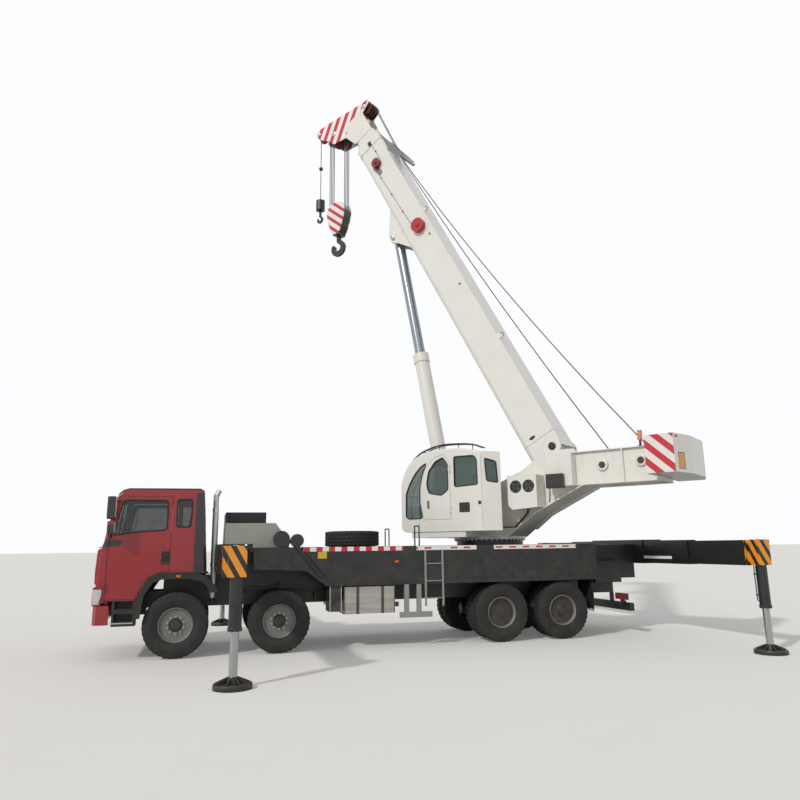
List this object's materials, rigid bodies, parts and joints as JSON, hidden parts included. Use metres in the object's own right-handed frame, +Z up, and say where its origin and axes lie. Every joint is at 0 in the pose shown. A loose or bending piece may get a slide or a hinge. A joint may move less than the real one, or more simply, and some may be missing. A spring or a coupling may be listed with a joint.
{
  "type": "mobile crane",
  "caption": "Truck-mounted mobile crane with H-type outriggers, slewing upper structure, operator cab, telescopic boom, lift cylinder and hook blocks.",
  "frame": {"origin": "on the ground below the middle of the whole crane's box, as parked with outriggers out and boom raised", "axes": "+X towards the truck's front, +Y to the truck's left, +Z up"},
  "size_m": [11.4778, 8.656, 14.2498],
  "materials": {
    "black_paint": "dusty satin",
    "red_paint": "weathered gloss",
    "white_paint": "weathered satin",
    "grey_paint": "weathered satin",
    "yellow_black": "striped, satin",
    "red_white": "striped, satin",
    "tyre_rubber": "dusty",
    "glass": "clear",
    "chrome_rod": "polished",
    "alu_sheet": "brushed",
    "dark_plastic": "matt",
    "steel": "worn"
  },
  "bodies": {
    "carrier": {"carrier_frame": "black_paint", "axles": "black_paint", "deck": "black_paint", "deck_fittings": "dark_plastic", "cab_shell": "red_paint", "cab_glass": "glass", "cab_interior": "dark_plastic", "bumper": "red_paint", "grille_and_headlamps": "dark_plastic", "cab_steps": "dark_plastic", "engine_and_exhaust": "steel", "service_cover": "grey_paint", "tanks": "alu_sheet", "spare_wheel": "tyre_rubber", "mudguards": "dark_plastic", "ladders_and_underrun_bar": "grey_paint"},
    "knuckle_1_left": {"knuckle_1_left": "steel"},
    "wheel_1_left": {"wheel_1_left": "tyre_rubber"},
    "knuckle_1_right": {"knuckle_1_right": "steel"},
    "wheel_1_right": {"wheel_1_right": "tyre_rubber"},
    "knuckle_2_left": {"knuckle_2_left": "steel"},
    "wheel_2_left": {"wheel_2_left": "tyre_rubber"},
    "knuckle_2_right": {"knuckle_2_right": "steel"},
    "wheel_2_right": {"wheel_2_right": "tyre_rubber"},
    "twin_wheel_3_left": {"twin_wheel_3_left": "tyre_rubber"},
    "twin_wheel_3_right": {"twin_wheel_3_right": "tyre_rubber"},
    "twin_wheel_4_left": {"twin_wheel_4_left": "tyre_rubber"},
    "twin_wheel_4_right": {"twin_wheel_4_right": "tyre_rubber"},
    "cab_door_left": {"cab_door_left": "red_paint"},
    "cab_door_right": {"cab_door_right": "red_paint"},
    "outrigger_front_left_outer_beam": {"outrigger_front_left_outer_beam": "black_paint"},
    "outrigger_front_left_inner_beam": {"outrigger_front_left_inner_beam": "yellow_black"},
    "outrigger_front_left_foot": {"outrigger_front_left_foot": "chrome_rod"},
    "outrigger_front_right_outer_beam": {"outrigger_front_right_outer_beam": "black_paint"},
    "outrigger_front_right_inner_beam": {"outrigger_front_right_inner_beam": "yellow_black"},
    "outrigger_front_right_foot": {"outrigger_front_right_foot": "chrome_rod"},
    "outrigger_rear_left_outer_beam": {"outrigger_rear_left_outer_beam": "black_paint"},
    "outrigger_rear_left_inner_beam": {"outrigger_rear_left_inner_beam": "yellow_black"},
    "outrigger_rear_left_foot": {"outrigger_rear_left_foot": "chrome_rod"},
    "outrigger_rear_right_outer_beam": {"outrigger_rear_right_outer_beam": "black_paint"},
    "outrigger_rear_right_inner_beam": {"outrigger_rear_right_inner_beam": "yellow_black"},
    "outrigger_rear_right_foot": {"outrigger_rear_right_foot": "chrome_rod"},
    "turntable": {"turntable": "white_paint", "counterweight": "red_white", "winches": "steel", "upper_fittings": "dark_plastic", "operator_cab": "white_paint", "operator_cab_glass": "glass", "operator_seat": "dark_plastic"},
    "operator_door": {"operator_door": "white_paint"},
    "boom_base": {"boom_base": "white_paint"},
    "boom_section_2": {"boom_section_2": "white_paint"},
    "boom_section_3": {"boom_section_3": "white_paint"},
    "boom_section_4": {"boom_section_4": "white_paint"},
    "boom_head_section": {"boom_head_section": "white_paint"},
    "lift_rod": {"lift_rod": "chrome_rod"},
    "lift_barrel": {"lift_barrel": "white_paint"},
    "main_hook": {"main_hook": "red_white"},
    "auxiliary_hook": {"auxiliary_hook": "red_white"}
  },
  "joints": [
    {"name": "steer_1_left", "type": "hinge", "parent": "carrier", "child": "knuckle_1_left", "pos_m": [4.35905, 0.86, 0.56], "axis": [0, 0, 1], "range_deg": [-32, 32]},
    {"name": "roll_1_left", "type": "hinge", "parent": "knuckle_1_left", "child": "wheel_1_left", "pos_m": [4.35905, 1.022, 0.56], "axis": [0, 1, 0], "continuous": true},
    {"name": "steer_1_right", "type": "hinge", "parent": "carrier", "child": "knuckle_1_right", "pos_m": [4.35905, -0.86, 0.56], "axis": [0, 0, 1], "range_deg": [-32, 32]},
    {"name": "roll_1_right", "type": "hinge", "parent": "knuckle_1_right", "child": "wheel_1_right", "pos_m": [4.35905, -1.022, 0.56], "axis": [0, 1, 0], "continuous": true},
    {"name": "steer_2_left", "type": "hinge", "parent": "carrier", "child": "knuckle_2_left", "pos_m": [2.55905, 0.86, 0.56], "axis": [0, 0, 1], "range_deg": [-24, 24]},
    {"name": "roll_2_left", "type": "hinge", "parent": "knuckle_2_left", "child": "wheel_2_left", "pos_m": [2.55905, 1.022, 0.56], "axis": [0, 1, 0], "continuous": true},
    {"name": "steer_2_right", "type": "hinge", "parent": "carrier", "child": "knuckle_2_right", "pos_m": [2.55905, -0.86, 0.56], "axis": [0, 0, 1], "range_deg": [-24, 24]},
    {"name": "roll_2_right", "type": "hinge", "parent": "knuckle_2_right", "child": "wheel_2_right", "pos_m": [2.55905, -1.022, 0.56], "axis": [0, 1, 0], "continuous": true},
    {"name": "roll_3_left", "type": "hinge", "parent": "carrier", "child": "twin_wheel_3_left", "pos_m": [-1.79095, 0.93, 0.56], "axis": [0, 1, 0], "continuous": true},
    {"name": "roll_3_right", "type": "hinge", "parent": "carrier", "child": "twin_wheel_3_right", "pos_m": [-1.79095, -0.93, 0.56], "axis": [0, 1, 0], "continuous": true},
    {"name": "roll_4_left", "type": "hinge", "parent": "carrier", "child": "twin_wheel_4_left", "pos_m": [-3.13095, 0.93, 0.56], "axis": [0, 1, 0], "continuous": true},
    {"name": "roll_4_right", "type": "hinge", "parent": "carrier", "child": "twin_wheel_4_right", "pos_m": [-3.13095, -0.93, 0.56], "axis": [0, 1, 0], "continuous": true},
    {"name": "cab_door_left_hinge", "type": "hinge", "parent": "carrier", "child": "cab_door_left", "pos_m": [5.54605, 1.213, 1.9], "axis": [0, 0, -1], "range_deg": [0, 70]},
    {"name": "cab_door_right_hinge", "type": "hinge", "parent": "carrier", "child": "cab_door_right", "pos_m": [5.54605, -1.213, 1.9], "axis": [0, 0, 1], "range_deg": [0, 70]},
    {"name": "outrigger_front_left_outer_slide", "type": "slide", "parent": "carrier", "child": "outrigger_front_left_outer_beam", "axis": [0, 1, 0], "range_m": [-1.46, 0]},
    {"name": "outrigger_front_left_inner_slide", "type": "slide", "parent": "outrigger_front_left_outer_beam", "child": "outrigger_front_left_inner_beam", "axis": [0, 1, 0], "range_m": [-1.46, 0]},
    {"name": "outrigger_front_left_jack", "type": "slide", "parent": "outrigger_front_left_inner_beam", "child": "outrigger_front_left_foot", "axis": [0, 0, 1], "range_m": [0, 0.55]},
    {"name": "outrigger_front_right_outer_slide", "type": "slide", "parent": "carrier", "child": "outrigger_front_right_outer_beam", "axis": [0, -1, 0], "range_m": [-1.46, 0]},
    {"name": "outrigger_front_right_inner_slide", "type": "slide", "parent": "outrigger_front_right_outer_beam", "child": "outrigger_front_right_inner_beam", "axis": [0, -1, 0], "range_m": [-1.46, 0]},
    {"name": "outrigger_front_right_jack", "type": "slide", "parent": "outrigger_front_right_inner_beam", "child": "outrigger_front_right_foot", "axis": [0, 0, 1], "range_m": [0, 0.55]},
    {"name": "outrigger_rear_left_outer_slide", "type": "slide", "parent": "carrier", "child": "outrigger_rear_left_outer_beam", "axis": [0, 1, 0], "range_m": [-1.46, 0]},
    {"name": "outrigger_rear_left_inner_slide", "type": "slide", "parent": "outrigger_rear_left_outer_beam", "child": "outrigger_rear_left_inner_beam", "axis": [0, 1, 0], "range_m": [-1.46, 0]},
    {"name": "outrigger_rear_left_jack", "type": "slide", "parent": "outrigger_rear_left_inner_beam", "child": "outrigger_rear_left_foot", "axis": [0, 0, 1], "range_m": [0, 0.55]},
    {"name": "outrigger_rear_right_outer_slide", "type": "slide", "parent": "carrier", "child": "outrigger_rear_right_outer_beam", "axis": [0, -1, 0], "range_m": [-1.46, 0]},
    {"name": "outrigger_rear_right_inner_slide", "type": "slide", "parent": "outrigger_rear_right_outer_beam", "child": "outrigger_rear_right_inner_beam", "axis": [0, -1, 0], "range_m": [-1.46, 0]},
    {"name": "outrigger_rear_right_jack", "type": "slide", "parent": "outrigger_rear_right_inner_beam", "child": "outrigger_rear_right_foot", "axis": [0, 0, 1], "range_m": [0, 0.55]},
    {"name": "slew", "type": "hinge", "parent": "carrier", "child": "turntable", "pos_m": [-2.09095, 0, 2], "axis": [0, 0, 1], "continuous": true},
    {"name": "operator_door_hinge", "type": "hinge", "parent": "turntable", "child": "operator_door", "pos_m": [-0.94634, 0.70011, 3], "axis": [0, 0, 1], "range_deg": [0, 80]},
    {"name": "boom_lift", "type": "hinge", "parent": "turntable", "child": "boom_base", "pos_m": [-3.18683, 1.40266, 3.84], "axis": [-0.788, -0.6157, 0], "range_deg": [-62.2, 17.8]},
    {"name": "boom_section_2_slide", "type": "slide", "parent": "boom_base", "child": "boom_section_2", "axis": [0.2871, -0.3675, 0.8846], "range_m": [0, 7.35]},
    {"name": "boom_section_3_slide", "type": "slide", "parent": "boom_section_2", "child": "boom_section_3", "axis": [0.2871, -0.3675, 0.8846], "range_m": [0, 7.35]},
    {"name": "boom_section_4_slide", "type": "slide", "parent": "boom_section_3", "child": "boom_section_4", "axis": [0.2871, -0.3675, 0.8846], "range_m": [0, 7.35]},
    {"name": "boom_head_section_slide", "type": "slide", "parent": "boom_section_4", "child": "boom_head_section", "axis": [0.2871, -0.3675, 0.8846], "range_m": [0, 7.35]},
    {"name": "lift_rod_pin", "type": "hinge", "parent": "boom_base", "child": "lift_rod", "pos_m": [-0.63262, -1.86658, 9.74686], "axis": [-0.788, -0.6157, 0], "range_deg": [-8, 2.5]},
    {"name": "lift_stroke", "type": "slide", "parent": "lift_rod", "child": "lift_barrel", "axis": [-0.1161, 0.1486, -0.9821], "range_m": [-3.176, 0.916]},
    {"name": "main_hook_swing", "type": "hinge", "parent": "boom_head_section", "child": "main_hook", "pos_m": [0.67766, -3.54366, 13.64408], "axis": [0.788, 0.6157, 0], "range_deg": [-62.2, 17.8]},
    {"name": "auxiliary_hook_swing", "type": "hinge", "parent": "boom_head_section", "child": "auxiliary_hook", "pos_m": [1.03848, -4.00549, 13.85511], "axis": [0.788, 0.6157, 0], "range_deg": [-62.2, 17.8]}
  ],
  "couplings": [
    {"joint": "steer_1_right", "follows": "steer_1_left", "ratio": 1},
    {"joint": "steer_2_left", "follows": "steer_1_left", "ratio": 0.74},
    {"joint": "steer_2_right", "follows": "steer_1_left", "ratio": 0.74},
    {"joint": "outrigger_front_left_inner_slide", "follows": "outrigger_front_left_outer_slide", "ratio": 1},
    {"joint": "outrigger_front_right_inner_slide", "follows": "outrigger_front_right_outer_slide", "ratio": 1},
    {"joint": "outrigger_rear_left_inner_slide", "follows": "outrigger_rear_left_outer_slide", "ratio": 1},
    {"joint": "outrigger_rear_right_inner_slide", "follows": "outrigger_rear_right_outer_slide", "ratio": 1},
    {"joint": "boom_section_3_slide", "follows": "boom_section_2_slide", "ratio": 1},
    {"joint": "boom_section_4_slide", "follows": "boom_section_2_slide", "ratio": 1},
    {"joint": "boom_head_section_slide", "follows": "boom_section_2_slide", "ratio": 1},
    {"joint": "lift_rod_pin", "follows": "boom_lift", "ratio": 0.1238},
    {"joint": "lift_stroke", "follows": "boom_lift", "m_per_rad": 2.9165},
    {"joint": "auxiliary_hook_swing", "follows": "main_hook_swing", "ratio": 1}
  ]
}
